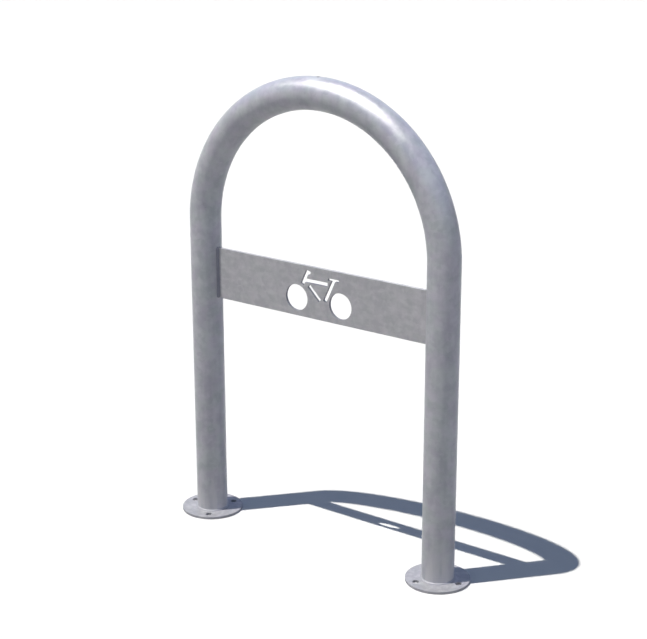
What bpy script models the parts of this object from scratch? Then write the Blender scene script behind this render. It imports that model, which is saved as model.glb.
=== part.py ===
"""Hoop bike stand: a bent steel tube on two round base flanges, with a cross plate between its legs.

Metres, +Z up. The origin is on the ground, midway between the feet. X runs from foot to foot, and the
front of the stand faces -Y. The four cut pieces of steel and the six weld beads that join them are
separate objects.
"""

import math

import bmesh
import bpy
from mathutils import Matrix

# Hoop tube
HOOP_WIDTH = 0.600  # over the outside of the legs
HOOP_HEIGHT = 0.900  # from the ground to the top of the bend
TUBE_DIAMETER = 0.0603
TUBE_WALL = 0.0029
VENT_DIAMETER = 0.008  # drilled in the crown, so that air escapes from the zinc bath

# Base flanges
FLANGE_DIAMETER = 0.120
FLANGE_THICKNESS = 0.005
FLANGE_EDGE_BREAK = 0.0005
ANCHOR_COUNT = 3
ANCHOR_CIRCLE = 0.090
ANCHOR_HOLE = 0.012
DRAIN_HOLE = 0.025  # under the bore of the tube

# Cross plate
PLATE_HEIGHT = 0.100
PLATE_THICKNESS = 0.005
PLATE_BELOW_BEND = 0.050  # from the start of the bend down to the plate's upper edge
PLATE_EDGE_RADIUS = 0.0008  # the rolled edges of flat bar

# Bicycle figure cut through the plate. It stands on a ground line above the plate's lower edge, and is
# drawn in units of which FIGURE_TALL fill the height that its two margins leave.
FIGURE_FOOT_MARGIN = 0.0100
FIGURE_HEAD_MARGIN = 0.0077
FIGURE_TALL = 82.3
WHEEL_RADIUS = 25.0
HALF_WHEELBASE = 50.0
CUT_CORNER_RADIUS = 0.0008
FIGURE_BARS = {  # each bar's two ends, along the plate and above the ground line, and its width
    "stem": ((-37.0, 52.7), (-24.3, 79.9), 8.0),
    "handlebar": ((-27.3, 78.5), (-18.2, 75.4), 8.0),
    "top_tube": ((-36.0, 61.3), (21.4, 61.3), 8.0),
    "down_tube": ((-21.8, 52.5), (3.4, 27.2), 8.0),
    "seat_tube": ((14.5, 28.0), (35.2, 72.4), 8.0),
    "saddle": ((22.3, 71.9), (46.7, 71.9), 4.5),
}

# Welds
BASE_WELD_LEG = 0.0025
PLATE_WELD_LEG = 0.007
WELD_BULGE = 0.15  # rise of the weld's face over a flat one, as a share of its leg
WELD_RUN_OUT = 0.004  # length over which a bead starts and stops
WELD_TIP_SHARE = 0.3  # size of a bead at its very end

# Gap left between pieces that touch
SEAT_GAP = 0.0003

# Facets
MERGE_DISTANCE = 0.00001
SMOOTH_ANGLE = math.radians(35.0)
TUBE_SIDES = 40
BORE_SIDES = 28
BEND_STEPS = 40
FLANGE_SIDES = 64
HOLE_SIDES = 24
WHEEL_SIDES = 48
WELD_RING_STEPS = 48
FILLET_STEPS = 4
RUN_OUT_STEPS = 3
EDGE_STEPS = 2  # facets across a small rounded edge

# Zinc coating
ZINC_TINT = (0.97, 0.99, 1.04)
ZINC_METALLIC = 0.6

# Sizes that follow from those above
TUBE_RADIUS = TUBE_DIAMETER / 2
BORE_RADIUS = TUBE_RADIUS - TUBE_WALL
BEND_RADIUS = HOOP_WIDTH / 2 - TUBE_RADIUS
SPRING_HEIGHT = HOOP_HEIGHT - TUBE_RADIUS - BEND_RADIUS
TUBE_FOOT_HEIGHT = FLANGE_THICKNESS + SEAT_GAP
PLATE_LENGTH = 2 * (BEND_RADIUS - TUBE_RADIUS - SEAT_GAP)
PLATE_CENTRE_HEIGHT = SPRING_HEIGHT - PLATE_BELOW_BEND - PLATE_HEIGHT / 2
FIGURE_UNIT = (PLATE_HEIGHT - FIGURE_FOOT_MARGIN - FIGURE_HEAD_MARGIN) / FIGURE_TALL
FIGURE_GROUND = FIGURE_FOOT_MARGIN - PLATE_HEIGHT / 2
PLATE_CUT_DEPTH = 4 * PLATE_THICKNESS
FLANGE_CUT_DEPTH = 4 * FLANGE_THICKNESS


def clear_scene():
    for obj in list(bpy.data.objects):
        bpy.data.objects.remove(obj, do_unlink=True)


def new_collection(name):
    collection = bpy.data.collections.new(name)
    bpy.context.scene.collection.children.link(collection)
    return collection


def zinc_material(name, grey, roughness):
    """Hot-dip zinc on steel: a slightly blue grey, more or less dull."""
    material = bpy.data.materials.new(name)
    material.use_nodes = True
    shader = material.node_tree.nodes["Principled BSDF"]
    shader.inputs["Base Color"].default_value = (*(grey * share for share in ZINC_TINT), 1.0)
    shader.inputs["Metallic"].default_value = ZINC_METALLIC
    shader.inputs["Roughness"].default_value = roughness
    return material


def new_empty(name, collection, location, turn=0.0):
    empty = bpy.data.objects.new(name, None)
    empty.location = location
    empty.rotation_euler = (0.0, 0.0, turn)
    collection.objects.link(empty)
    return empty


def new_part(name, mesh, collection, parent, material):
    part = bpy.data.objects.new(name, mesh)
    part.parent = parent
    mesh.materials.clear()
    mesh.materials.append(material)
    mesh.shade_smooth()
    mesh.set_sharp_from_angle(angle=SMOOTH_ANGLE)
    collection.objects.link(part)
    return part


def new_cutter(name, mesh, collection, parent):
    cutter = bpy.data.objects.new(name, mesh)
    cutter.parent = parent
    cutter.hide_render = True
    cutter.display_type = "WIRE"
    collection.objects.link(cutter)
    return cutter


def cut(part, cutter):
    modifier = part.modifiers.new(cutter.name, "BOOLEAN")
    modifier.operation = "DIFFERENCE"
    modifier.solver = "EXACT"
    modifier.object = cutter


def mesh_from(bm, name):
    mesh = bpy.data.meshes.new(name)
    bm.to_mesh(mesh)
    bm.free()
    return mesh


def add_round_bar(bm, radius, height, sides, centre=(0.0, 0.0, 0.0)):
    """A closed cylinder along Z."""
    place = Matrix.Translation(centre)
    bmesh.ops.create_cone(
        bm, cap_ends=True, segments=sides, radius1=radius, radius2=radius, depth=height, matrix=place
    )


def rounded_box(name, size, edge_axis, edge_radius):
    """A box whose four edges along one axis are rounded."""
    bm = bmesh.new()
    bmesh.ops.create_cube(bm, size=1.0)
    bmesh.ops.scale(bm, vec=size, verts=bm.verts)
    edges = []
    for edge in bm.edges:
        run = edge.verts[0].co - edge.verts[1].co
        if abs(run[edge_axis]) > 0.99 * run.length:
            edges.append(edge)
    bmesh.ops.bevel(
        bm, geom=edges, offset=edge_radius, segments=EDGE_STEPS, profile=0.5, affect="EDGES"
    )
    return mesh_from(bm, name)


def hoop_path(overrun):
    """Points up one leg, round the bend and down the other. The overrun lengthens both feet."""
    foot = TUBE_FOOT_HEIGHT - overrun
    path = [(-BEND_RADIUS, 0.0, foot)]
    for step in range(BEND_STEPS + 1):
        angle = math.pi * (1 - step / BEND_STEPS)
        path.append((BEND_RADIUS * math.cos(angle), 0.0, SPRING_HEIGHT + BEND_RADIUS * math.sin(angle)))
    path.append((BEND_RADIUS, 0.0, foot))
    return path


def swept_bar(name, path, radius, sides):
    """A closed round bar along a path: a bevelled curve, made a mesh. Its sides are an even number."""
    curve = bpy.data.curves.new(name, "CURVE")
    curve.dimensions = "3D"
    curve.bevel_depth = radius
    curve.bevel_resolution = sides // 2 - 2  # a full bevel has 2 * (resolution + 2) sides
    curve.use_fill_caps = True
    spline = curve.splines.new("POLY")
    spline.points.add(len(path) - 1)
    for point, place in zip(spline.points, path):
        point.co = (*place, 1.0)
    guide = bpy.data.objects.new(name, curve)
    bpy.context.scene.collection.objects.link(guide)
    graph = bpy.context.evaluated_depsgraph_get()
    mesh = bpy.data.meshes.new_from_object(guide.evaluated_get(graph))
    bpy.data.objects.remove(guide, do_unlink=True)
    bm = bmesh.new()
    bm.from_mesh(mesh)
    bmesh.ops.remove_doubles(bm, verts=bm.verts, dist=MERGE_DISTANCE)
    bmesh.ops.recalc_face_normals(bm, faces=bm.faces)
    bm.to_mesh(mesh)
    bm.free()
    return mesh


def make_hoop_tube(parts, cutters, frame, material):
    """The bent tube: hollow, open at both feet, with the vent in its crown."""
    tube = new_part(
        "hoop_tube", swept_bar("hoop_tube", hoop_path(0.0), TUBE_RADIUS, TUBE_SIDES), parts, frame, material
    )
    bore = swept_bar("hoop_bore", hoop_path(TUBE_DIAMETER), BORE_RADIUS, BORE_SIDES)
    cut(tube, new_cutter("hoop_bore", bore, cutters, frame))
    bm = bmesh.new()
    add_round_bar(bm, VENT_DIAMETER / 2, 2 * BORE_RADIUS, HOLE_SIDES, (0.0, 0.0, HOOP_HEIGHT))
    cut(tube, new_cutter("crown_vent", mesh_from(bm, "crown_vent"), cutters, frame))


def flange_blank(name):
    """The round plate before drilling, with the edge of its rim broken."""
    bm = bmesh.new()
    add_round_bar(bm, FLANGE_DIAMETER / 2, FLANGE_THICKNESS, FLANGE_SIDES, (0, 0, FLANGE_THICKNESS / 2))
    rim = [edge for edge in bm.edges if abs(edge.verts[0].co.z - edge.verts[1].co.z) < 1e-6]
    bmesh.ops.bevel(bm, geom=rim, offset=FLANGE_EDGE_BREAK, segments=1, affect="EDGES")
    return mesh_from(bm, name)


def flange_drills(name):
    """Every hole of one flange: the drain in the middle, and the anchor holes, the first one outwards."""
    bm = bmesh.new()
    add_round_bar(bm, DRAIN_HOLE / 2, FLANGE_CUT_DEPTH, HOLE_SIDES)
    for number in range(ANCHOR_COUNT):
        angle = math.pi + 2 * math.pi * number / ANCHOR_COUNT
        centre = (ANCHOR_CIRCLE / 2 * math.cos(angle), ANCHOR_CIRCLE / 2 * math.sin(angle), 0.0)
        add_round_bar(bm, ANCHOR_HOLE / 2, FLANGE_CUT_DEPTH, HOLE_SIDES, centre)
    return mesh_from(bm, name)


def fillet_face(start, end, bulge):
    """Points of a weld's face, from its toe at start to its toe at end, bowed outwards by bulge."""
    (x0, y0), (x1, y1) = start, end
    length = math.hypot(x1 - x0, y1 - y0)
    out_x, out_y = (y1 - y0) / length, (x0 - x1) / length
    points = []
    for step in range(FILLET_STEPS + 1):
        share = step / FILLET_STEPS
        rise = bulge * 4 * share * (1 - share)
        points.append((x0 + (x1 - x0) * share + out_x * rise, y0 + (y1 - y0) * share + out_y * rise))
    return points


def base_weld_mesh(name):
    """Half section of the fillet between leg and flange, in the XZ plane. It runs down the weld's face."""
    inner = TUBE_RADIUS + SEAT_GAP
    floor = TUBE_FOOT_HEIGHT
    tube_toe = (floor + BASE_WELD_LEG, inner)
    flange_toe = (floor, inner + BASE_WELD_LEG)
    face = fillet_face(tube_toe, flange_toe, -WELD_BULGE * BASE_WELD_LEG)
    bm = bmesh.new()
    section = [bm.verts.new((radius, 0.0, height)) for height, radius in face]
    section.append(bm.verts.new((inner, 0.0, floor)))
    for first, second in zip(section, section[1:] + section[:1]):
        bm.edges.new((first, second))
    return mesh_from(bm, name)


def turn_round(part):
    screw = part.modifiers.new("turn", "SCREW")
    screw.axis = "Z"
    screw.steps = WELD_RING_STEPS
    screw.render_steps = WELD_RING_STEPS
    screw.use_merge_vertices = True
    screw.merge_threshold = MERGE_DISTANCE


def make_foot(side, outward, parts, cutters, frame, steel, weld):
    """One foot: the flange with its holes, and the weld round the leg. The right one is turned half round."""
    turn = 0.0 if outward < 0 else math.pi
    foot = new_empty(f"{side}_foot", parts, (outward * BEND_RADIUS, 0.0, 0.0), turn)
    foot.parent = frame
    flange = new_part(f"{side}_base_flange", flange_blank(f"{side}_base_flange"), parts, foot, steel)
    cut(flange, new_cutter(f"{side}_drills", flange_drills(f"{side}_drills"), cutters, foot))
    ring = new_part(f"{side}_base_weld", base_weld_mesh(f"{side}_base_weld"), parts, foot, weld)
    turn_round(ring)


def figure_place(point):
    """A point of the bicycle drawing, as a place on the plate, from the plate's centre."""
    along, up = point
    return (along * FIGURE_UNIT, 0.0, FIGURE_GROUND + up * FIGURE_UNIT)


def make_figure_cutters(cutters, centre):
    """Two round cuts for the wheels, and a bar for each tube of the bicycle's frame."""
    made = []
    for name, along in (("left_wheel", -HALF_WHEELBASE), ("right_wheel", HALF_WHEELBASE)):
        bm = bmesh.new()
        add_round_bar(bm, WHEEL_RADIUS * FIGURE_UNIT, PLATE_CUT_DEPTH, WHEEL_SIDES)
        wheel = new_cutter(name, mesh_from(bm, name), cutters, centre)
        wheel.location = figure_place((along, WHEEL_RADIUS))
        wheel.rotation_euler = (math.pi / 2, 0.0, 0.0)
        made.append(wheel)
    for name, (start, end, width) in FIGURE_BARS.items():
        run_x, run_z = end[0] - start[0], end[1] - start[1]
        size = (math.hypot(run_x, run_z) * FIGURE_UNIT, PLATE_CUT_DEPTH, width * FIGURE_UNIT)
        bar = new_cutter(name, rounded_box(name, size, 1, CUT_CORNER_RADIUS), cutters, centre)
        bar.location = figure_place(((start[0] + end[0]) / 2, (start[1] + end[1]) / 2))
        bar.rotation_euler = (0.0, -math.atan2(run_z, run_x), 0.0)
        made.append(bar)
    return made


def make_cross_plate(parts, cutters, centre, material):
    size = (PLATE_LENGTH, PLATE_THICKNESS, PLATE_HEIGHT)
    blank = rounded_box("cross_plate", size, 0, PLATE_EDGE_RADIUS)
    plate = new_part("cross_plate", blank, parts, centre, material)
    for cutter in make_figure_cutters(cutters, centre):
        cut(plate, cutter)


def bead_section(leg, height):
    """Section of the bead between left leg and plate front, at one height from the plate's centre."""
    reach = TUBE_RADIUS + SEAT_GAP
    plate_face = -PLATE_THICKNESS / 2 - SEAT_GAP
    root = math.asin(plate_face / reach)
    toe = math.asin((plate_face - leg) / reach)
    points = []
    for step in range(FILLET_STEPS):
        angle = root + (toe - root) * step / FILLET_STEPS
        points.append((-BEND_RADIUS + reach * math.cos(angle), reach * math.sin(angle)))
    leg_toe = (-BEND_RADIUS + reach * math.cos(toe), reach * math.sin(toe))
    plate_toe = (-BEND_RADIUS + reach * math.cos(root) + leg, plate_face)
    points += fillet_face(leg_toe, plate_toe, WELD_BULGE * leg)
    return [(x, y, height) for x, y in points]


def plate_bead_mesh(name):
    """A bead as tall as the plate: a lofted section, which shrinks where the bead starts and stops."""
    sections = []
    for step in range(RUN_OUT_STEPS + 1):
        angle = math.pi / 2 * step / RUN_OUT_STEPS
        share = WELD_TIP_SHARE + (1 - WELD_TIP_SHARE) * math.sin(angle)
        height = PLATE_HEIGHT / 2 - WELD_RUN_OUT * (1 - math.cos(angle))
        sections.append((share * PLATE_WELD_LEG, height))
    sections = [(leg, -height) for leg, height in sections] + sections[::-1]
    bm = bmesh.new()
    rings = [[bm.verts.new(point) for point in bead_section(leg, height)] for leg, height in sections]
    for lower, upper in zip(rings, rings[1:]):
        for here in range(len(lower)):
            after = (here + 1) % len(lower)
            bm.faces.new((lower[here], lower[after], upper[after], upper[here]))
    bm.faces.new(rings[0][::-1])
    bm.faces.new(rings[-1])
    bmesh.ops.recalc_face_normals(bm, faces=bm.faces)
    return mesh_from(bm, name)


def make_plate_welds(parts, centre, material):
    """One bead, and three copies of it turned half round each axis, for the four corners of the plate."""
    half_turns = {
        "left_front_plate_weld": (0.0, 0.0, 0.0),
        "left_back_plate_weld": (math.pi, 0.0, 0.0),
        "right_back_plate_weld": (0.0, 0.0, math.pi),
        "right_front_plate_weld": (0.0, math.pi, 0.0),
    }
    mesh = plate_bead_mesh("plate_weld")
    for name, turn in half_turns.items():
        bead = new_part(name, mesh, parts, centre, material)
        bead.rotation_euler = turn


def main():
    clear_scene()
    parts = new_collection("hoop_bike_stand")
    cutters = new_collection("cutters")
    steel = zinc_material("galvanised_steel", 0.34, 0.5)
    weld = zinc_material("galvanised_weld", 0.26, 0.6)
    frame = new_empty("stand_frame", parts, (0.0, 0.0, 0.0))
    make_hoop_tube(parts, cutters, frame, steel)
    make_foot("left", -1, parts, cutters, frame, steel, weld)
    make_foot("right", 1, parts, cutters, frame, steel, weld)
    centre = new_empty("plate_centre", parts, (0.0, 0.0, PLATE_CENTRE_HEIGHT))
    centre.parent = frame
    make_cross_plate(parts, cutters, centre, steel)
    make_plate_welds(parts, centre, weld)


main()
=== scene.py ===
"""Hoop bike stand in hot-dip galvanised steel, laid out as an add-on and run as a script.

Every piece is modelled around the frame of steel solids that is loaded first, in metres, +Z up, with the
origin on the ground midway between the feet. X runs from foot to foot, and the front faces -Y.
"""

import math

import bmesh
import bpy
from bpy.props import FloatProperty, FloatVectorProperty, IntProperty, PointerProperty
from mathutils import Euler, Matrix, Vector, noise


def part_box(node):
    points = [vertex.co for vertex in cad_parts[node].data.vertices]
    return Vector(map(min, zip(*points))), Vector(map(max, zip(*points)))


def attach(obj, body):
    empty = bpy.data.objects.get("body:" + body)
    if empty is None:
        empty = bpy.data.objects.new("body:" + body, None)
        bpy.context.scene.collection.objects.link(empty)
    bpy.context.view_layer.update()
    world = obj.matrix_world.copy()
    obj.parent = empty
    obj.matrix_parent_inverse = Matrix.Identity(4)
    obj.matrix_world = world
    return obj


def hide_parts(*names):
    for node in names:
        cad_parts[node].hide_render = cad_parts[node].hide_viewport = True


bl_info = {
    "name": "Hoop bike stand",
    "version": (1, 0, 0),
    "blender": (4, 5, 0),
    "location": "3D View > Sidebar > Bike stand",
    "description": "Models a galvanised hoop bike stand piece by piece, and a plain stage for it",
    "category": "Add Mesh",
}

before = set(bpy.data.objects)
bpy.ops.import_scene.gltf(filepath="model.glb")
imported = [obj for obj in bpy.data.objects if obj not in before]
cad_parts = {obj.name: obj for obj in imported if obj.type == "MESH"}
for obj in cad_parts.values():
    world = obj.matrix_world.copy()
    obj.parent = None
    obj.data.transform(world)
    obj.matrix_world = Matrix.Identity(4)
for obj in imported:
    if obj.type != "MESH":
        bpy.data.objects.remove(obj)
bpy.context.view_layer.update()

MM = 0.001
BODY = "root"

# Sizes read from the frame
TUBE_LOW, TUBE_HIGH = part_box("hoop_tube")
FLANGE_LOW, FLANGE_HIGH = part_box("left_base_flange")
PLATE_LOW, PLATE_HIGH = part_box("cross_plate")
TUBE_RADIUS = (TUBE_HIGH.y - TUBE_LOW.y) / 2
LEG_X = TUBE_HIGH.x - TUBE_RADIUS
FOOT_Z = TUBE_LOW.z
FLANGE_THICKNESS = FLANGE_HIGH.z - FLANGE_LOW.z
PLATE_SIZE = PLATE_HIGH - PLATE_LOW
PLATE_CENTRE = (PLATE_HIGH + PLATE_LOW) / 2


# Settings


def linear(hex_colour):
    """An sRGB hex colour as linear red, green and blue."""
    shares = [int(hex_colour[i : i + 2], 16) / 255 for i in (1, 3, 5)]
    return [s / 12.92 if s <= 0.04045 else ((s + 0.055) / 1.055) ** 2.4 for s in shares]


def size_prop(name, millimetres, description):
    """A length setting, given in millimetres."""
    return FloatProperty(
        name=name, description=description, default=millimetres * MM, min=0.0, unit="LENGTH"
    )


def angle_prop(name, degrees, description):
    """An angle setting, given in degrees."""
    return FloatProperty(
        name=name, description=description, default=math.radians(degrees), min=0.0, subtype="ANGLE"
    )


def share_prop(name, share, description):
    """A setting from 0 to 1."""
    return FloatProperty(name=name, description=description, default=share, min=0.0, max=1.0)


def strength_prop(name, strength, description):
    """The strength of a lamp."""
    return FloatProperty(name=name, description=description, default=strength, min=0.0)


def count_prop(name, count, description, least=12):
    """A whole number, of facets unless it says otherwise."""
    return IntProperty(name=name, description=description, default=count, min=least)


def colour_prop(name, hex_colour, description):
    """A colour setting, given as an sRGB hex colour."""
    return FloatVectorProperty(
        name=name,
        description=description,
        default=linear(hex_colour),
        size=3,
        min=0.0,
        max=1.0,
        subtype="COLOR",
    )


class TubeSettings(bpy.types.PropertyGroup):
    height: size_prop("Height", 900.0, "From the ground to the top of the bend")
    wall: size_prop("Wall", 2.9, "Wall of the round tube")
    vent: size_prop("Vent", 8.0, "Galvanising vent drilled in the crown")
    edge: size_prop("Edge", 0.5, "Radius that the zinc leaves on cut edges of the tube")
    sides: count_prop("Sides", 96, "Facets round the tube")
    bend_steps: count_prop("Bend steps", 144, "Facets along the half circle")
    vent_sides: count_prop("Vent sides", 48, "Facets round the vent")


class FlangeSettings(bpy.types.PropertyGroup):
    anchor_circle: size_prop("Anchor circle", 90.0, "Circle through the middle of the anchor holes")
    anchor_hole: size_prop("Anchor hole", 12.0, "Diameter of each anchor hole")
    anchor_count: count_prop("Anchors", 3, "Anchor holes in each flange", least=1)
    drain: size_prop("Drain", 25.0, "Drain hole under the bore of the tube")
    edge: size_prop("Edge", 0.6, "Radius on the rim and on the edges of the holes")
    sides: count_prop("Sides", 160, "Facets round the rim")
    hole_sides: count_prop("Hole sides", 64, "Facets round each hole")


class PlateSettings(bpy.types.PropertyGroup):
    edge: size_prop("Edge", 0.8, "Radius along the rolled edges of the flat bar")
    cut_edge: size_prop("Cut edge", 0.35, "Radius that the zinc leaves on the edges of the cuts")
    foot_margin: size_prop("Foot margin", 10.0, "From the lower edge up to the ground line of the figure")
    head_margin: size_prop("Head margin", 7.7, "From the top of the figure up to the upper edge")
    wheel_sides: count_prop("Wheel sides", 128, "Facets round each wheel of the figure")


class WeldSettings(bpy.types.PropertyGroup):
    base_leg: size_prop("Base leg", 2.5, "Leg of the fillet between leg and flange")
    plate_leg: size_prop("Plate leg", 4.0, "Leg of the bead between leg and plate")
    bulge: share_prop("Bulge", 0.15, "Rise of a bead's face over a flat one, as a share of its leg")
    run_out: size_prop("Run-out", 4.0, "Length over which a plate bead starts and stops")
    tip: share_prop("Tip", 0.3, "Size of a plate bead at its very end, as a share of its full size")
    ripple_pitch: size_prop("Ripple pitch", 1.7, "From one ripple of a bead to the next")
    ripple_rise: size_prop("Ripple rise", 0.3, "Height of a ripple")
    ripple_steps: count_prop("Ripple steps", 6, "Facets along each ripple", least=2)
    sides: count_prop("Sides", 140, "Facets round the disc from which a bead's face is cut")


class ZincSettings(bpy.types.PropertyGroup):
    light: colour_prop("Light zinc", "#C2C3C8", "Palest patches of the dulled zinc")
    middle: colour_prop("Middle zinc", "#B5B6BC", "Most of the dulled zinc")
    dark: colour_prop("Dark zinc", "#A6A7AF", "Darkest patches of the dulled zinc")
    dust: colour_prop("Dust", "#C3C3C6", "Dust that rain splashes up from the ground")
    dust_height: size_prop("Dust height", 110.0, "How far up the dust reaches")
    tube_patch: size_prop("Patches on tube", 34.0, "Size of the cloudy patches on the tube")
    flat_patch: size_prop("Patches on flat steel", 16.0, "Size of the cloudy patches on plate and flanges")
    spangle: size_prop("Spangle", 8.0, "Size of the zinc crystals")
    roughness: share_prop("Roughness", 0.36, "Of the dulled zinc")
    metallic: share_prop("Metallic", 0.10, "Share of bare metal")


class StageSettings(bpy.types.PropertyGroup):
    floor: colour_prop("Floor", "#FCFDFF", "Colour of the floor")
    bounce: colour_prop("Floor bounce", "#929291", "Colour of the floor as it lights the object")
    zenith: colour_prop("Upper sky", "#3A4B61", "Colour of the light from above")
    front: colour_prop("Low sky in front", "#FFFCFF", "Colour of the low light from the front")
    back: colour_prop("Low sky behind", "#BFD0FA", "Colour of the low light from behind")
    sun: colour_prop("Sun", "#FFFAF0", "Colour of the sun")
    key: strength_prop("Key light", 3.3, "Strength of the key light")
    key_width: angle_prop("Key width", 0.6, "Angle across the sun")
    haze: strength_prop("Haze", 11.0, "Strength of the bright haze round the sun")
    haze_width: angle_prop("Haze width", 58.0, "Angle across the haze")
    sheen_colour: colour_prop("Sheen colour", "#2A8AFF", "Colour that the sky adds to reflections")
    sheen: strength_prop("Sheen", 2.7, "Strength of the sky in reflections")
    sheen_width: angle_prop("Sheen width", 150.0, "Angle across the part of the sky that does so")


class BikeStandSettings(bpy.types.PropertyGroup):
    tube: PointerProperty(type=TubeSettings)
    flange: PointerProperty(type=FlangeSettings)
    plate: PointerProperty(type=PlateSettings)
    weld: PointerProperty(type=WeldSettings)
    zinc: PointerProperty(type=ZincSettings)
    stage: PointerProperty(type=StageSettings)


# The way the sunlight travels, and how high the pale sky near the horizon reaches, as a sine
SUN_RAYS = Vector((0.2274, 0.2663, -0.9367))
LOW_SKY_TOP = 0.56

# The camera looks at a point on the upright plane through both legs
CAMERA_TARGET = Vector((0.0101, 0.0, 0.4524))
CAMERA_DISTANCE = 3.0012
CAMERA_AZIMUTH = math.radians(36.546)
CAMERA_ELEVATION = math.radians(17.949)
CAMERA_ROLL = math.radians(-0.107)
SENSOR_WIDTH = 36.0  # mm
FRAME_WIDTH = 647  # pixels
FOCAL_LENGTH = 1629.0  # pixels

# The bicycle figure is drawn in units of which FIGURE_TALL fill the height that its margins leave on the
# plate. Each bar has its two ends, along the plate and above the ground line, and its width.
FIGURE_TALL = 82.3
WHEEL_RADIUS = 25.0
WHEELS = (-50.0, 50.0)
BARS = {
    "stem": ((-37.0, 52.7), (-24.3, 79.9), 8.0),
    "handlebar": ((-27.3, 78.5), (-18.2, 75.4), 8.0),
    "top_tube": ((-36.0, 61.3), (21.4, 61.3), 8.0),
    "down_tube": ((-21.8, 52.5), (3.4, 27.2), 8.0),
    "seat_tube": ((14.5, 28.0), (35.2, 72.4), 8.0),
    "saddle": ((22.3, 71.9), (46.7, 71.9), 4.5),
}

# The ripples of a weld bow back towards its toes and wander along it, both counted in ripples. Their height
# swells and fades about a middle, as shares of the ripple rise.
RIPPLE_BOW = 0.55
RIPPLE_WANDER = 0.45
WANDER_SIZE = 4 * MM
RIPPLE_MIDDLE = 0.75
RIPPLE_SWELL = 0.4
SWELL_SIZE = 7 * MM

# Sizes in the zinc that are the same on every piece
RUN_WIDTH = 8 * MM
GRAIN_SIZE = 1.6 * MM
DRIFT_SIZE = 30 * MM
UNEVEN_SIZE = 7 * MM
COAT_RELIEF = 0.3 * MM
WELD_PATCH = 6 * MM

# Edges bent further than this are cut edges, and are rounded
CUT_ANGLE = math.radians(50.0)
# A direction with more than this share along an axis runs along it, and a face whose normal has less than
# the other share along Y belongs to a cut through the plate
ALONG = 0.99
CUT_FACE = 0.9
MERGE_DISTANCE = 0.01 * MM
SPLIT_DISTANCE = 0.001 * MM


# Helpers for modelling


def name_new(name):
    """Names the object that an operator has just added, and its mesh."""
    piece = bpy.context.active_object
    piece.name = name
    piece.data.name = name
    return piece


def only(piece):
    """Selects one object, and makes it the active one."""
    bpy.ops.object.select_all(action="DESELECT")
    piece.select_set(True)
    bpy.context.view_layer.objects.active = piece


def pick(mode, chosen):
    """In edit mode, selects just the corners, edges or faces that chosen says yes to."""
    bpy.ops.mesh.select_mode(type=mode)
    bpy.ops.mesh.select_all(action="DESELECT")
    edit = bmesh.from_edit_mesh(bpy.context.edit_object.data)
    items = {"VERT": edit.verts, "EDGE": edit.edges, "FACE": edit.faces}[mode]
    for item in items:
        if chosen(item):
            item.select_set(True)
    edit.select_flush_mode()
    bmesh.update_edit_mesh(bpy.context.edit_object.data)


def finish_modifier(piece, kind, **settings):
    """Adds a modifier, sets it and applies it."""
    only(piece)
    modifier = piece.modifiers.new(kind.title(), kind)
    for name, value in settings.items():
        setattr(modifier, name, value)
    bpy.ops.object.modifier_apply(modifier=modifier.name)


def cut_out(piece, cutter):
    """Cuts one object out of another, and removes the cutter."""
    finish_modifier(piece, "BOOLEAN", operation="DIFFERENCE", solver="EXACT", object=cutter)
    bpy.data.objects.remove(cutter, do_unlink=True)


def drill(piece, sides, radius, depth, place, turn=(0.0, 0.0, 0.0)):
    """Drills a round hole into a piece."""
    bpy.ops.object.select_all(action="DESELECT")
    bpy.ops.mesh.primitive_cylinder_add(
        vertices=sides, radius=radius, depth=depth, location=place, rotation=turn
    )
    cut_out(piece, name_new("drill"))


def round_cut_edges(piece, radius, segments, **settings):
    """Rounds every cut edge of a piece."""
    finish_modifier(
        piece,
        "BEVEL",
        width=radius,
        segments=segments,
        limit_method="ANGLE",
        angle_limit=CUT_ANGLE,
        **settings,
    )


def round_edges_along(axis, radius):
    """Rounds the edges of the active box that run along one axis."""
    bpy.ops.object.mode_set(mode="EDIT")
    pick("EDGE", lambda edge: abs((edge.verts[0].co - edge.verts[1].co).normalized()[axis]) > ALONG)
    bpy.ops.mesh.bevel(offset=radius, segments=4, profile=0.5)
    bpy.ops.object.mode_set(mode="OBJECT")


def merge_corners():
    """In edit mode, merges the corners that meet, and turns every face outwards."""
    bpy.ops.mesh.select_all(action="SELECT")
    bpy.ops.mesh.remove_doubles(threshold=MERGE_DISTANCE)
    bpy.ops.mesh.normals_make_consistent(inside=False)


def place_in_mesh(piece):
    """Moves an object's place, turn and scale into its mesh, so that the object is at the origin."""
    only(piece)
    bpy.ops.object.transform_apply(location=True, rotation=True, scale=True)


def copy_turned(piece, name, turn):
    """A copy with its own mesh, turned about the origin of the frame."""
    only(piece)
    bpy.ops.object.duplicate()
    copy = name_new(name)
    copy.rotation_euler = turn
    place_in_mesh(copy)
    return copy


def shade(piece, degrees=35.0):
    """Shades a piece smooth, except over the edges that bend further than this."""
    only(piece)
    bpy.ops.object.shade_smooth_by_angle(angle=math.radians(degrees))


def shade_flat_piece(piece):
    """Shades the rounded edges smooth, and keeps the large flat sides flat."""
    shade(piece)
    finish_modifier(piece, "WEIGHTED_NORMAL", keep_sharp=True)


def set_in_frame(piece, node, material):
    """Puts a finished piece in place of its solid."""
    piece.data.materials.clear()
    piece.data.materials.append(material)
    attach(piece, BODY)
    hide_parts(node)


# Materials


def add_node(tree, kind, inputs=None, **settings):
    """Adds a node, with its settings, and with its inputs set or linked."""
    node = tree.nodes.new(kind)
    for name, value in settings.items():
        setattr(node, name, value)
    for name, value in (inputs or {}).items():
        if isinstance(value, bpy.types.NodeSocket):
            tree.links.new(value, node.inputs[name])
        else:
            node.inputs[name].default_value = value
    return node


def sum_layers(tree, start, layers):
    """Adds layers to a start value, each one times its weight."""
    total = start
    for layer, weight in layers:
        total = add_node(
            tree, "ShaderNodeMath", {0: layer, 1: weight, 2: total}, operation="MULTIPLY_ADD"
        ).outputs[0]
    return total


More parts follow.
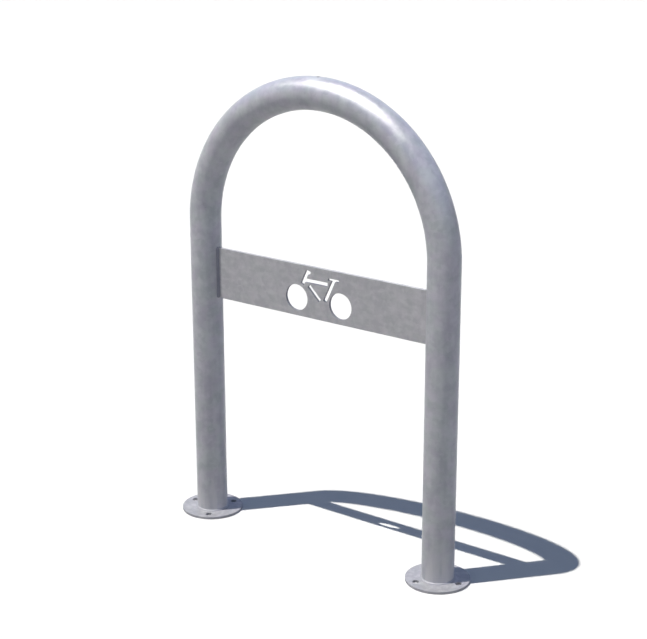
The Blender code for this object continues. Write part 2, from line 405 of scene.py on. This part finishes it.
def mean_sum(layers):
    """What layers of noise add up to on average, as each has a mean of a half."""
    return 0.5 * sum(weight for layer, weight in layers)


def link_by_ray(tree, lighting, seen, socket):
    """Gives a socket one colour for the rays that light the object, and another where it is seen."""
    rays = add_node(tree, "ShaderNodeLightPath")
    visible = rays.outputs["Is Camera Ray"]
    for ray in ("Is Glossy Ray", "Is Transmission Ray"):
        visible = add_node(
            tree, "ShaderNodeMath", {0: visible, 1: rays.outputs[ray]}, operation="MAXIMUM"
        ).outputs[0]
    colour = add_node(tree, "ShaderNodeMix", {0: visible, 6: lighting, 7: seen}, data_type="RGBA")
    tree.links.new(colour.outputs[2], socket)


def galvanised_steel(
    name,
    look,
    patch,
    casts,
    clouding=1.3,
    drawn=(1.0, 1.0, 0.12),
    streaks=0.0,
    tint=0.4,
    darker=0.0,
    dust=0.0,
    specular=0.2,
):
    """Hot-dip galvanised steel, dulled outdoors: a slightly blue grey, cloudy, with faint crystals.

    patch is the size of the cloudy patches. casts are the two hues that the grey drifts between, and tint is
    their share in it. clouding, streaks and dust say how much the patches, the streaks and the dust show.
    The streaks run along the axis for which drawn is smallest. darker moves the tone towards the dark end,
    and specular says how much the skin over the metal shines.
    """
    material = bpy.data.materials.get(name)
    if material:
        return material
    material = bpy.data.materials.new(name)
    material.use_nodes = True
    tree = material.node_tree
    shader = tree.nodes["Principled BSDF"]
    place = add_node(tree, "ShaderNodeTexCoord").outputs["Object"]

    # Cloudy patches, where the zinc has dulled unevenly
    clouds = add_node(
        tree,
        "ShaderNodeTexNoise",
        {"Vector": place, "Scale": 1 / patch, "Detail": 3.0, "Roughness": 0.55, "Distortion": 0.3},
    ).outputs["Fac"]
    # Streaks: the runs that the melt leaves as a tube is drawn out of the bath, or the grain of rolled bar
    along = add_node(tree, "ShaderNodeMapping", {"Vector": place, "Scale": drawn}).outputs[0]
    runs = add_node(
        tree, "ShaderNodeTexNoise", {"Vector": along, "Scale": 1 / RUN_WIDTH, "Detail": 2.5}
    ).outputs["Fac"]
    # Spangle: feathery crystals, each of its own shade, now faint
    feather = add_node(
        tree, "ShaderNodeTexNoise", {"Vector": place, "Scale": 1.4 / look.spangle, "Detail": 3.0}
    ).outputs["Color"]
    ragged = add_node(
        tree,
        "ShaderNodeVectorMath",
        {0: feather, 1: (0.7 * look.spangle,) * 3, 2: place},
        operation="MULTIPLY_ADD",
    ).outputs[0]
    crystals = add_node(tree, "ShaderNodeTexVoronoi", {"Vector": ragged, "Scale": 1 / look.spangle})
    spangle = add_node(tree, "ShaderNodeSeparateColor", {"Color": crystals.outputs["Color"]}).outputs[0]
    # The grain of the matt skin, drawn coarser than the real one so that it shows
    grain = add_node(
        tree, "ShaderNodeTexNoise", {"Vector": place, "Scale": 1 / GRAIN_SIZE, "Detail": 3.0}
    ).outputs["Fac"]

    layers = ((clouds, clouding), (runs, streaks), (spangle, 0.3), (grain, 0.25))
    tone = sum_layers(tree, 0.5 - mean_sum(layers) - darker, layers)
    shades = add_node(tree, "ShaderNodeValToRGB", {"Fac": tone})
    stops = shades.color_ramp.elements
    stops[0].position, stops[0].color = 0.2, (*look.dark, 1.0)
    stops[1].position, stops[1].color = 0.8, (*look.light, 1.0)
    stops.new(0.5).color = (*look.middle, 1.0)

    # Slow drift between two casts, as on weathered zinc
    drift = add_node(tree, "ShaderNodeTexNoise", {"Vector": place, "Scale": 1 / DRIFT_SIZE, "Detail": 2.0})
    hues = add_node(tree, "ShaderNodeValToRGB", {"Fac": drift.outputs["Fac"]})
    stops = hues.color_ramp.elements
    stops[0].position, stops[0].color = 0.38, (*linear(casts[0]), 1.0)
    stops[1].position, stops[1].color = 0.62, (*linear(casts[1]), 1.0)
    tinted = add_node(
        tree,
        "ShaderNodeMix",
        {0: tint, 6: shades.outputs["Color"], 7: hues.outputs["Color"]},
        data_type="RGBA",
    ).outputs[2]

    # Dust, thinning out upwards from the ground, and washed into streaks
    height = add_node(tree, "ShaderNodeSeparateXYZ", {0: place}).outputs["Z"]
    low = add_node(
        tree,
        "ShaderNodeMapRange",
        {"Value": height, "From Min": 0.0, "From Max": look.dust_height, "To Min": dust, "To Max": 0.0},
        interpolation_type="SMOOTHSTEP",
    ).outputs["Result"]
    washed = add_node(
        tree,
        "ShaderNodeMapRange",
        {"Value": runs, "From Min": 0.35, "From Max": 0.65, "To Min": 0.1, "To Max": 0.9},
    ).outputs["Result"]
    dusty = add_node(tree, "ShaderNodeMath", {0: low, 1: washed}, operation="MULTIPLY").outputs[0]
    colour = add_node(
        tree, "ShaderNodeMix", {0: dusty, 6: tinted, 7: (*look.dust, 1.0)}, data_type="RGBA"
    ).outputs[2]
    tree.links.new(colour, shader.inputs["Base Color"])

    # The pale patches, the dark steel and the dust are rougher
    layers = ((clouds, 0.20), (spangle, 0.10), (grain, 0.06))
    rough = sum_layers(tree, look.roughness - mean_sum(layers) + 0.4 * darker, (*layers, (dusty, 0.3)))
    tree.links.new(rough, shader.inputs["Roughness"])
    shader.inputs["Metallic"].default_value = look.metallic
    shader.inputs["Specular IOR Level"].default_value = specular

    # Relief: the gently uneven coat, the lines between crystals, and the grain
    uneven = add_node(
        tree, "ShaderNodeTexNoise", {"Vector": place, "Scale": 1 / UNEVEN_SIZE, "Detail": 2.0}
    ).outputs["Fac"]
    borders = add_node(
        tree,
        "ShaderNodeTexVoronoi",
        {"Vector": ragged, "Scale": 1 / look.spangle},
        feature="DISTANCE_TO_EDGE",
    ).outputs["Distance"]
    relief = sum_layers(tree, 0.0, ((uneven, 1.0), (borders, 0.25), (grain, 0.12)))
    bump = add_node(tree, "ShaderNodeBump", {"Height": relief, "Strength": 0.5, "Distance": COAT_RELIEF})
    tree.links.new(bump.outputs["Normal"], shader.inputs["Normal"])
    return material


def galvanised_tube(look):
    """Zinc on round tube: broad patches of violet and green grey, with the runs of the dip down the legs."""
    name, casts = "Hot-dip galvanised tube", ("#B4B0C1", "#ACB6B8")
    return galvanised_steel(name, look, look.tube_patch, casts, clouding=1.7, streaks=0.6, dust=1.5)


def galvanised_bar(look):
    """Zinc on rolled flat bar: small patches of an almost neutral grey, with the grain along the bar."""
    name, casts = "Hot-dip galvanised flat bar", ("#B4B1B6", "#AFB1B1")
    return galvanised_steel(
        name, look, look.flat_patch, casts, drawn=(0.2, 1.0, 1.0), streaks=0.7, darker=0.06
    )


def painted_shade_cut(look):
    """Zinc on the faces that the cutting left, with painted shade: darker than on the rolled faces."""
    name, casts = "Cut faces with painted shade", ("#73747D", "#7B7D83")
    return galvanised_steel(name, look, 0.4 * look.flat_patch, casts, tint=0.8, darker=0.5)


def galvanised_flange(look):
    """Zinc on cut plate near the ground: a darker, bluer grey with a matt skin."""
    name, casts = "Hot-dip galvanised plate", ("#A9A8B3", "#A6A8AD")
    return galvanised_steel(
        name, look, 0.6 * look.flat_patch, casts, clouding=2.0, darker=0.1, specular=0.0
    )


def galvanised_weld(look):
    """Zinc over weld metal: dark and rough, and uneven from ripple to ripple."""
    name, casts = "Hot-dip galvanised weld", ("#8E8F97", "#93969A")
    return galvanised_steel(name, look, WELD_PATCH, casts, tint=0.5, darker=0.5)


def painted_shade_weld(look):
    """The plate welds at the left leg, with painted shade: a darker, bluer grey for the leg's shadow."""
    name, casts = "Weld with painted shade", ("#70717C", "#7A7C86")
    return galvanised_steel(name, look, WELD_PATCH, casts, tint=0.8, darker=0.5)


def painted_light_weld(look):
    """The plate welds at the right leg, in the sun, with painted light: as pale as the bar beside them."""
    name, casts = "Weld with painted light", ("#B8B3B6", "#B3B3B0")
    return galvanised_steel(name, look, WELD_PATCH, casts, darker=0.15)


# Pieces


class BIKESTAND_OT_hoop_tube(bpy.types.Operator):
    """Bends the tube of the hoop: up one leg, round the half circle and down the other leg"""

    bl_idname = "bikestand.hoop_tube"
    bl_label = "Hoop tube"

    def execute(self, context):
        look = context.scene.bike_stand.tube
        spring = look.height - TUBE_RADIUS - LEG_X
        bpy.ops.object.select_all(action="DESELECT")
        bpy.ops.mesh.primitive_circle_add(
            vertices=look.sides, radius=TUBE_RADIUS, location=(-LEG_X, 0.0, FOOT_Z)
        )
        tube = name_new("bent_hoop_tube")
        place_in_mesh(tube)
        bpy.ops.object.mode_set(mode="EDIT")
        bpy.ops.mesh.select_all(action="SELECT")
        bpy.ops.mesh.extrude_region_move(TRANSFORM_OT_translate={"value": (0.0, 0.0, spring - FOOT_Z)})
        # About -Y, so that the half circle rises over the legs
        bpy.ops.mesh.spin(
            steps=look.bend_steps, angle=math.pi, center=(0.0, 0.0, spring), axis=(0.0, -1.0, 0.0)
        )
        bpy.ops.mesh.extrude_region_move(TRANSFORM_OT_translate={"value": (0.0, 0.0, FOOT_Z - spring)})
        merge_corners()
        bpy.ops.object.mode_set(mode="OBJECT")
        finish_modifier(tube, "SOLIDIFY", thickness=look.wall, offset=-1.0)
        drill(tube, look.vent_sides, look.vent / 2, TUBE_RADIUS, (0.0, 0.0, look.height))
        round_cut_edges(tube, look.edge, 3)
        shade(tube)
        steel = galvanised_tube(context.scene.bike_stand.zinc)
        set_in_frame(tube, "hoop_tube", steel)
        return {"FINISHED"}


class BIKESTAND_OT_base_flanges(bpy.types.Operator):
    """Cuts and drills one base flange, and turns a copy of it for the other foot"""

    bl_idname = "bikestand.base_flanges"
    bl_label = "Base flanges"

    def execute(self, context):
        look = context.scene.bike_stand.flange
        radius = (FLANGE_HIGH.x - FLANGE_LOW.x) / 2
        centre = Vector((-LEG_X, 0.0, FLANGE_THICKNESS / 2))
        bpy.ops.object.select_all(action="DESELECT")
        bpy.ops.mesh.primitive_cylinder_add(
            vertices=look.sides, radius=radius, depth=FLANGE_THICKNESS, location=centre
        )
        left = name_new("left_round_flange")
        holes = [(centre, look.drain)]
        for number in range(look.anchor_count):
            angle = math.pi + 2 * math.pi * number / look.anchor_count
            out = Vector((math.cos(angle), math.sin(angle), 0.0)) * look.anchor_circle / 2
            holes.append((centre + out, look.anchor_hole))
        for place, diameter in holes:
            drill(left, look.hole_sides, diameter / 2, 3 * FLANGE_THICKNESS, place)
        round_cut_edges(left, look.edge, 3)
        place_in_mesh(left)
        shade_flat_piece(left)
        right = copy_turned(left, "right_round_flange", (0.0, 0.0, math.pi))
        steel = galvanised_flange(context.scene.bike_stand.zinc)
        set_in_frame(left, "left_base_flange", steel)
        set_in_frame(right, "right_base_flange", steel)
        return {"FINISHED"}


class BIKESTAND_OT_cross_plate(bpy.types.Operator):
    """Rounds the edges of a length of flat bar, and cuts the bicycle figure through it"""

    bl_idname = "bikestand.cross_plate"
    bl_label = "Cross plate"

    def execute(self, context):
        look = context.scene.bike_stand.plate
        unit = (PLATE_SIZE.z - look.foot_margin - look.head_margin) / FIGURE_TALL
        ground = PLATE_LOW.z + look.foot_margin
        cut_depth = 4 * PLATE_SIZE.y
        bpy.ops.object.select_all(action="DESELECT")
        bpy.ops.mesh.primitive_cube_add(size=1.0, location=PLATE_CENTRE, scale=PLATE_SIZE)
        plate = name_new("pierced_cross_plate")
        place_in_mesh(plate)
        round_edges_along(0, look.edge)
        for along in WHEELS:
            hub = (along * unit, 0.0, ground + WHEEL_RADIUS * unit)
            drill(plate, look.wheel_sides, WHEEL_RADIUS * unit, cut_depth, hub, (math.pi / 2, 0.0, 0.0))
        for start, end, width in BARS.values():
            start, end = Vector(start) * unit, Vector(end) * unit
            run, middle = end - start, (end + start) / 2
            bpy.ops.object.select_all(action="DESELECT")
            bpy.ops.mesh.primitive_cube_add(
                size=1.0,
                location=(middle.x, 0.0, ground + middle.y),
                rotation=(0.0, -math.atan2(run.y, run.x), 0.0),
                scale=(run.length, cut_depth, width * unit),
            )
            cutter = name_new("bar_cutter")
            place_in_mesh(cutter)
            round_edges_along(1, look.edge)
            cut_out(plate, cutter)
        # The two sides become well-shaped triangles first, so that no thin face folds over in the bevel
        only(plate)
        bpy.ops.object.mode_set(mode="EDIT")
        pick("FACE", lambda face: abs(face.normal.y) > ALONG)
        bpy.ops.mesh.quads_convert_to_tris(quad_method="BEAUTY", ngon_method="BEAUTY")
        bpy.ops.mesh.beautify_fill()
        bpy.ops.object.mode_set(mode="OBJECT")
        round_cut_edges(plate, look.cut_edge, 2, loop_slide=False)
        shade_flat_piece(plate)
        zinc = context.scene.bike_stand.zinc
        set_in_frame(plate, "cross_plate", galvanised_bar(zinc))
        # The faces that the cuts left, well inside the plate's outline, get a darker zinc with painted shade
        plate.data.materials.append(painted_shade_cut(zinc))
        inner_x = PLATE_SIZE.x / 2 - look.edge
        inner_z = PLATE_SIZE.z / 2 - 2 * look.edge
        for face in plate.data.polygons:
            off = face.center - PLATE_CENTRE
            inside = abs(off.x) < inner_x and abs(off.z) < inner_z
            if inside and abs(face.normal.y) < CUT_FACE:
                face.material_index = 1
        return {"FINISHED"}


def bead_section(name, root, toes, look, leg):
    """The section of a weld in its corner: a disc through both toes, cut along the two faces it fuses to.

    root is the corner itself, and leg the weld's size. Leaves the new object in edit mode, all selected, as
    one flat face in the XY plane.
    """
    bulge = look.bulge * leg
    first, second = (Vector(toe) for toe in toes)
    root = Vector(root)
    chord = second - first
    out = Vector((chord.y, -chord.x)).normalized()
    if out.dot(first - root) < 0:
        out.negate()
    radius = (chord.length_squared / 4 + bulge * bulge) / (2 * bulge)
    centre = (first + second) / 2 - out * (radius - bulge)
    bpy.ops.object.select_all(action="DESELECT")
    bpy.ops.mesh.primitive_circle_add(
        vertices=look.sides, radius=radius, fill_type="NGON", location=(centre.x, centre.y, 0.0)
    )
    section = name_new(name)
    place_in_mesh(section)
    bpy.ops.object.mode_set(mode="EDIT")
    for toe, other in ((first, second), (second, first)):
        side = toe - root
        normal = Vector((side.y, -side.x)).normalized()
        if normal.dot(other - root) < 0:
            normal.negate()
        bpy.ops.mesh.select_all(action="SELECT")
        bpy.ops.mesh.bisect(
            plane_co=(*root, 0.0), plane_no=(*normal, 0.0), clear_inner=True, threshold=SPLIT_DISTANCE
        )
    bpy.ops.mesh.select_all(action="SELECT")
    return section


def raise_ripples(bead, place, rise):
    """Raises the ripples of a weld, no two quite alike.

    place gives a corner's place along the bead, counted in ripples, and across its face, from 0 at one toe
    to 1 at the other.
    """
    group = bead.vertex_groups.new(name="ripples")
    for corner in bead.data.vertices:
        along, across = place(corner.co)
        if 0.0 < across < 1.0:
            bow = RIPPLE_BOW * (2 * across - 1) ** 2
            wander = RIPPLE_WANDER * noise.noise(corner.co / WANDER_SIZE)
            crest = 0.5 + 0.5 * math.cos(2 * math.pi * (along + bow + wander))
            swell = RIPPLE_MIDDLE + RIPPLE_SWELL * noise.noise(corner.co / SWELL_SIZE)
            height = swell * crest * math.sin(math.pi * across)
            group.add([corner.index], min(max(height, 0.0), 1.0), "REPLACE")
    finish_modifier(bead, "DISPLACE", strength=rise, mid_level=0.0, vertex_group="ripples")


class BIKESTAND_OT_base_welds(bpy.types.Operator):
    """Runs the fillet weld round the foot of each leg"""

    bl_idname = "bikestand.base_welds"
    bl_label = "Base welds"

    def execute(self, context):
        look = context.scene.bike_stand.weld
        leg, top = look.base_leg, FLANGE_THICKNESS
        ripples = round(2 * math.pi * TUBE_RADIUS / look.ripple_pitch)
        toes = ((TUBE_RADIUS, top + leg), (TUBE_RADIUS + leg, top))
        ring = bead_section("left_foot_weld_bead", (TUBE_RADIUS, top), toes, look, leg)
        bpy.ops.mesh.delete(type="ONLY_FACE")
        bpy.ops.object.mode_set(mode="OBJECT")
        ring.rotation_euler = (math.pi / 2, 0.0, 0.0)
        place_in_mesh(ring)
        bpy.ops.object.mode_set(mode="EDIT")
        bpy.ops.mesh.select_all(action="SELECT")
        bpy.ops.mesh.spin(
            steps=look.ripple_steps * ripples,
            angle=2 * math.pi,
            center=(0.0, 0.0, 0.0),
            axis=(0.0, 0.0, 1.0),
        )
        merge_corners()
        bpy.ops.object.mode_set(mode="OBJECT")
        # Corners this close to the leg or to the flange aren't on the bead's face
        root_zone = 0.02 * leg

        def place(corner):
            out = math.hypot(corner.x, corner.y) - TUBE_RADIUS
            up = corner.z - top
            along = math.atan2(corner.y, corner.x) / (2 * math.pi) * ripples
            on_face = out > root_zone and up > root_zone
            return along, (0.5 + (out - up) / (2 * leg) if on_face else 0.0)

        raise_ripples(ring, place, look.ripple_rise)
        ring.location.x = -LEG_X
        place_in_mesh(ring)
        shade(ring, degrees=60.0)
        right = copy_turned(ring, "right_foot_weld_bead", (0.0, 0.0, math.pi))
        weld = galvanised_weld(context.scene.bike_stand.zinc)
        set_in_frame(ring, "left_base_weld", weld)
        set_in_frame(right, "right_base_weld", weld)
        return {"FINISHED"}


class BIKESTAND_OT_plate_welds(bpy.types.Operator):
    """Runs a bead up one corner between leg and plate, and turns copies of it for the other three"""

    bl_idname = "bikestand.plate_welds"
    bl_label = "Plate welds"

    def execute(self, context):
        look = context.scene.bike_stand.weld
        leg, face = look.plate_leg, -PLATE_SIZE.y / 2
        root = (-LEG_X + math.sqrt(TUBE_RADIUS**2 - face**2), face)
        low_toe = face - leg
        toes = ((-LEG_X + math.sqrt(TUBE_RADIUS**2 - low_toe**2), low_toe), (root[0] + leg, face))
        ripples = round(PLATE_SIZE.z / look.ripple_pitch)
        bead = bead_section("left_front_weld_bead", root, toes, look, leg)
        bpy.ops.mesh.extrude_region_move(TRANSFORM_OT_translate={"value": (0.0, 0.0, PLATE_SIZE.z)})
        # Cut along into ripples, and then each ripple into its steps
        for parts, length in ((ripples, PLATE_SIZE.z), (look.ripple_steps, PLATE_SIZE.z / ripples)):
            pick("EDGE", lambda edge: abs(edge.verts[0].co.z - edge.verts[1].co.z) > length / 2)
            bpy.ops.mesh.subdivide(number_cuts=parts - 1)
        # Both ends shrink towards the corner, where the bead starts and stops
        pitch = PLATE_SIZE.z / (look.ripple_steps * ripples)
        for number in range(int(look.run_out / pitch) + 1):
            share = 1.0 - number * pitch / look.run_out
            size = look.tip + (1.0 - look.tip) * math.sqrt(1.0 - share * share)
            for height in (number * pitch, PLATE_SIZE.z - number * pitch):
                pick("VERT", lambda corner: abs(corner.co.z - height) < pitch / 4)
                bpy.ops.transform.resize(value=(size, size, 1.0), center_override=(*root, height))
        bpy.ops.mesh.select_all(action="SELECT")
        bpy.ops.mesh.normals_make_consistent(inside=False)
        bpy.ops.object.mode_set(mode="OBJECT")
        first, second = Vector(toes[0]), Vector(toes[1])
        chord = second - first

        def place(corner):
            across = (corner.xy - first).dot(chord) / chord.length_squared
            return corner.z / look.ripple_pitch, across

        raise_ripples(bead, place, look.ripple_rise)
        bead.location.z = -PLATE_SIZE.z / 2
        place_in_mesh(bead)
        shade(bead, degrees=60.0)
        zinc = context.scene.bike_stand.zinc
        # Painted shade on the beads at the left leg, which lie in its shadow, and painted light on those at
        # the right leg, in the sun
        shaded_weld, lit_weld = painted_shade_weld(zinc), painted_light_weld(zinc)
        copies = (
            ("left_back_weld_bead", "left_back_plate_weld", (math.pi, 0.0, 0.0), shaded_weld),
            ("right_back_weld_bead", "right_back_plate_weld", (0.0, 0.0, math.pi), lit_weld),
            ("right_front_weld_bead", "right_front_plate_weld", (0.0, math.pi, 0.0), lit_weld),
        )
        beads = [(bead, "left_front_plate_weld", shaded_weld)]
        for name, node, turn, weld in copies:
            beads.append((copy_turned(bead, name, turn), node, weld))
        for piece, node, weld in beads:
            piece.location.z = PLATE_CENTRE.z
            place_in_mesh(piece)
            set_in_frame(piece, node, weld)
        return {"FINISHED"}


# Stage


class BIKESTAND_OT_stage(bpy.types.Operator):
    """Sets up the floor, the lights and the camera"""

    bl_idname = "bikestand.stage"
    bl_label = "Stage"

    def execute(self, context):
        look = context.scene.bike_stand.stage
        context.scene.view_settings.view_transform = "Standard"
        self.lay_floor(look)
        self.surround(context.scene, look)
        self.hang_lamps(context.scene, look)
        self.set_camera(context.scene)
        return {"FINISHED"}

    def lay_floor(self, look):
        """Lays the floor just under the feet. It reflects less light than its colour would."""
        bpy.ops.object.select_all(action="DESELECT")
        bpy.ops.mesh.primitive_circle_add(
            vertices=96, radius=40.0, fill_type="NGON", location=(0.0, 0.0, -0.1 * MM)
        )
        floor = name_new("floor")
        paint = bpy.data.materials.new("Matt pale floor")
        paint.use_nodes = True
        shader = paint.node_tree.nodes["Principled BSDF"]
        bounce, seen = (*look.bounce, 1.0), (*look.floor, 1.0)
        link_by_ray(paint.node_tree, bounce, seen, shader.inputs["Base Color"])
        shader.inputs["Roughness"].default_value = 0.9
        shader.inputs["Specular IOR Level"].default_value = 0.0
        floor.data.materials.append(paint)

    def surround(self, scene, look):
        """Lights the object by an open sky, pale near the horizon, where the eye sees plain white."""
        world = bpy.data.worlds.new("Plain surroundings")
        scene.world = world
        world.use_nodes = True
        tree = world.node_tree
        direction = add_node(tree, "ShaderNodeTexCoord").outputs["Object"]
        axes = add_node(tree, "ShaderNodeSeparateXYZ", {0: direction}).outputs
        low = add_node(
            tree,
            "ShaderNodeMapRange",
            {"Value": axes["Z"], "From Min": 0.0, "From Max": LOW_SKY_TOP, "To Min": 1.0, "To Max": 0.0},
            interpolation_type="SMOOTHSTEP",
        ).outputs["Result"]
        backward = add_node(
            tree, "ShaderNodeMapRange", {"Value": axes["Y"], "From Min": -1.0}
        ).outputs["Result"]
        low_sky = add_node(
            tree,
            "ShaderNodeMix",
            {0: backward, 6: (*look.front, 1.0), 7: (*look.back, 1.0)},
            data_type="RGBA",
        ).outputs[2]
        sky = add_node(
            tree, "ShaderNodeMix", {0: low, 6: (*look.zenith, 1.0), 7: low_sky}, data_type="RGBA"
        ).outputs[2]
        link_by_ray(tree, sky, (1.0, 1.0, 1.0, 1.0), tree.nodes["Background"].inputs["Color"])

    def hang_lamps(self, scene, look):
        """Hangs the sun, which lights everything, and two lamps that show in reflections only.

        These are the bright haze round the sun, which is the wide highlight on the bend, and the blue of the
        open sky.
        """
        down = Vector((0.0, 0.0, -1.0))
        lamps = (
            ("key_light", look.key, look.sun, look.key_width, SUN_RAYS),
            ("sun_haze", look.haze, look.sun, look.haze_width, SUN_RAYS),
            ("sky_sheen", look.sheen, look.sheen_colour, look.sheen_width, down),
        )
        for name, strength, colour, width, rays in lamps:
            lamp = bpy.data.lights.new(name, "SUN")
            lamp.energy = strength
            lamp.angle = width
            lamp.color = colour
            light = bpy.data.objects.new(name, lamp)
            light.rotation_euler = rays.to_track_quat("-Z", "Y").to_euler()
            light.visible_diffuse = name == "key_light"
            scene.collection.objects.link(light)

    def set_camera(self, scene):
        """Sets the camera at its distance from its target."""
        lens = bpy.data.cameras.new("camera")
        lens.sensor_width = SENSOR_WIDTH
        lens.lens = FOCAL_LENGTH * SENSOR_WIDTH / FRAME_WIDTH
        camera = bpy.data.objects.new("camera", lens)
        scene.collection.objects.link(camera)
        level = Euler((math.pi / 2 - CAMERA_ELEVATION, 0.0, CAMERA_AZIMUTH)).to_matrix()
        turn = level @ Matrix.Rotation(CAMERA_ROLL, 3, "Z")
        camera.location = CAMERA_TARGET + CAMERA_DISTANCE * turn.col[2]
        camera.rotation_euler = turn.to_euler()
        scene.camera = camera


# Sidebar and registration


class BIKESTAND_PT_sidebar(bpy.types.Panel):
    bl_label = "Hoop bike stand"
    bl_idname = "BIKESTAND_PT_sidebar"
    bl_space_type = "VIEW_3D"
    bl_region_type = "UI"
    bl_category = "Bike stand"

    def draw(self, context):
        layout = self.layout
        for operator in OPERATORS:
            layout.operator(operator.bl_idname)


SETTINGS = (
    TubeSettings,
    FlangeSettings,
    PlateSettings,
    WeldSettings,
    ZincSettings,
    StageSettings,
    BikeStandSettings,
)
OPERATORS = (
    BIKESTAND_OT_hoop_tube,
    BIKESTAND_OT_base_flanges,
    BIKESTAND_OT_base_welds,
    BIKESTAND_OT_cross_plate,
    BIKESTAND_OT_plate_welds,
    BIKESTAND_OT_stage,
)
CLASSES = (*SETTINGS, *OPERATORS, BIKESTAND_PT_sidebar)


def register():
    for item in CLASSES:
        bpy.utils.register_class(item)
    bpy.types.Scene.bike_stand = PointerProperty(type=BikeStandSettings)


def unregister():
    del bpy.types.Scene.bike_stand
    for item in reversed(CLASSES):
        bpy.utils.unregister_class(item)


def main():
    register()
    bpy.ops.bikestand.hoop_tube()
    bpy.ops.bikestand.base_flanges()
    bpy.ops.bikestand.base_welds()
    bpy.ops.bikestand.cross_plate()
    bpy.ops.bikestand.plate_welds()
    bpy.ops.bikestand.stage()


if __name__ == "__main__":
    main()
